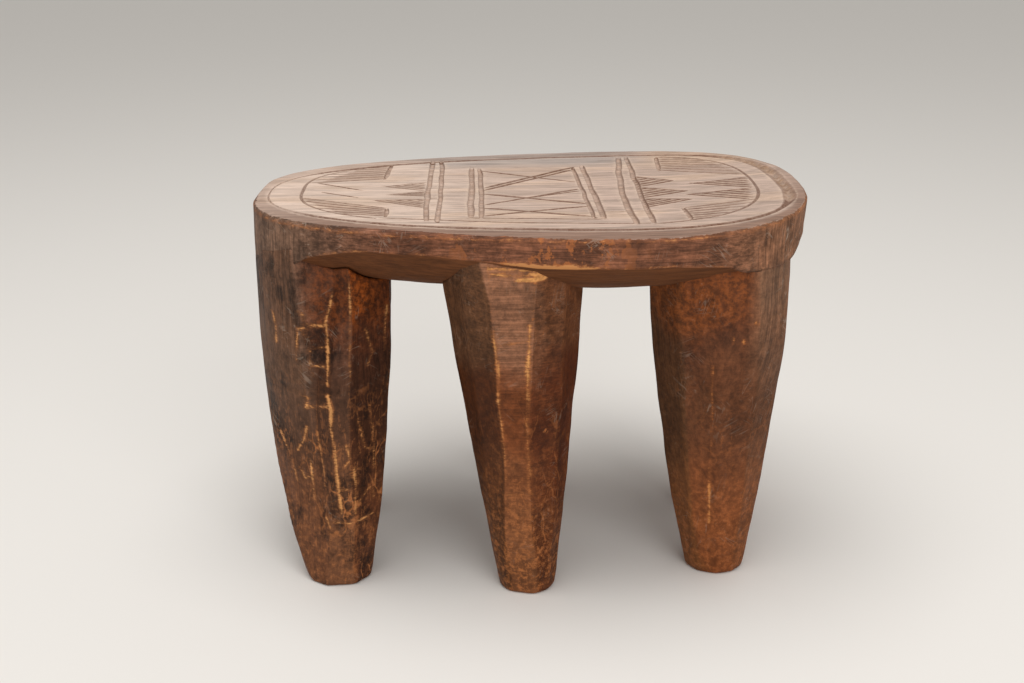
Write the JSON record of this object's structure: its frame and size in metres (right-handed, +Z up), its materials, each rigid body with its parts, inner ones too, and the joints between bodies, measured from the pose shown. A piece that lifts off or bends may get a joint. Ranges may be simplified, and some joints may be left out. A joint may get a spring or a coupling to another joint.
{
  "type": "carved wooden stool",
  "caption": "Low stool carved from a block of wood: an egg-shaped seat with a carved geometric field and a scooped underside, on stout faceted legs that taper to small feet.",
  "frame": {"origin": "on the floor, under the middle of the part's box", "axes": "+X along the seat towards its broad end, +Y towards the back row of legs, +Z up"},
  "size_m": [0.42, 0.3058, 0.2941],
  "materials": {
    "seat_wood": "weathered, hand carved, dry",
    "leg_wood": "dark patina worn to orange wood on the ridges"
  },
  "bodies": {
    "root": {"seat": "seat_wood", "leg_front_left": "leg_wood", "leg_front_middle": "leg_wood", "leg_front_right": "leg_wood", "leg_back_left": "leg_wood", "leg_back_middle": "leg_wood", "leg_back_right": "leg_wood"}
  },
  "joints": []
}
